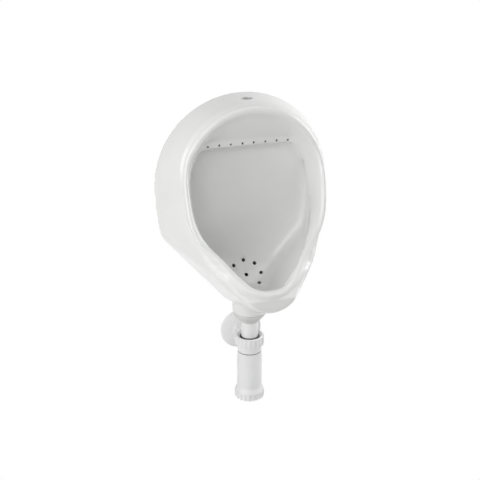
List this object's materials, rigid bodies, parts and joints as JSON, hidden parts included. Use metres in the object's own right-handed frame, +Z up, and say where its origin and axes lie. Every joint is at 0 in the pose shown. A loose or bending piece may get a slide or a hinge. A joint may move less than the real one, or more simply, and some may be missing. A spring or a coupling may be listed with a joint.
{
  "type": "wall hung urinal",
  "caption": "Wall hung ceramic urinal with a shield-shaped rolled rim, a pierced drain, hidden hangers and a bottle trap that leads to the wall.",
  "frame": {"origin": "the point where the axis of the trap's outlet pipe meets the wall plane, on the object's plane of symmetry", "axes": "+Z up, +Y into the wall so that the object stands out of it towards -Y, +X to the right seen from the front"},
  "size_m": [0.327, 0.224, 0.5935],
  "materials": {
    "vitreous_china": "glossy white glaze",
    "white_plastic": "moulded white polypropylene, satin gloss",
    "seal_rubber": "soft black rubber",
    "sleeve_rubber": "soft white rubber",
    "hanger_steel": "zinc plated",
    "liner_plastic": "natural polyethylene"
  },
  "bodies": {
    "fixture": {"bowl": "vitreous_china", "hanger_left": "hanger_steel", "hanger_right": "hanger_steel", "hook_liner_left": "liner_plastic", "hook_liner_right": "liner_plastic", "outlet_sleeve": "sleeve_rubber", "tail_pipe": "white_plastic", "inlet_seal": "seal_rubber", "trap_head": "white_plastic", "dip_tube": "white_plastic", "outlet_pipe": "white_plastic"},
    "bottle_seal": {"bottle_seal": "seal_rubber"},
    "bottle": {"bottle": "white_plastic"},
    "cap_seal": {"cap_seal": "seal_rubber"},
    "cleaning_cap": {"cleaning_cap": "white_plastic"},
    "outlet_seals": {"outlet_cone_seal": "seal_rubber", "outlet_friction_ring": "white_plastic"},
    "outlet_nut": {"outlet_nut": "white_plastic"},
    "rosette": {"rosette": "white_plastic"}
  },
  "joints": [
    {"name": "bottle_travel", "type": "slide", "parent": "fixture", "child": "bottle_seal", "axis": [0, 0, -1], "range_m": [0, 0.0106]},
    {"name": "bottle_turn", "type": "hinge", "parent": "bottle_seal", "child": "bottle", "pos_m": [0, -0.058, -0.06], "axis": [0, 0, -1], "range_deg": [0, 1080]},
    {"name": "cap_travel", "type": "slide", "parent": "bottle", "child": "cap_seal", "axis": [0, 0, -1], "range_m": [0, 0.0091]},
    {"name": "cap_turn", "type": "hinge", "parent": "cap_seal", "child": "cleaning_cap", "pos_m": [0, -0.058, -0.112], "axis": [0, 0, -1], "range_deg": [0, 1080]},
    {"name": "nut_travel", "type": "slide", "parent": "fixture", "child": "outlet_seals", "axis": [0, 1, 0], "range_m": [0, 0.0051]},
    {"name": "nut_turn", "type": "hinge", "parent": "outlet_seals", "child": "outlet_nut", "pos_m": [0, -0.023, 0], "axis": [0, 1, 0], "range_deg": [0, 720]},
    {"name": "rosette_travel", "type": "slide", "parent": "fixture", "child": "rosette", "axis": [0, -1, 0], "range_m": [0, 0.0015]}
  ],
  "couplings": [
    {"joint": "bottle_travel", "follows": "bottle_turn", "m_per_rad": 0.00055704},
    {"joint": "cap_travel", "follows": "cap_turn", "m_per_rad": 0.00047746},
    {"joint": "nut_travel", "follows": "nut_turn", "m_per_rad": 0.00039789}
  ]
}
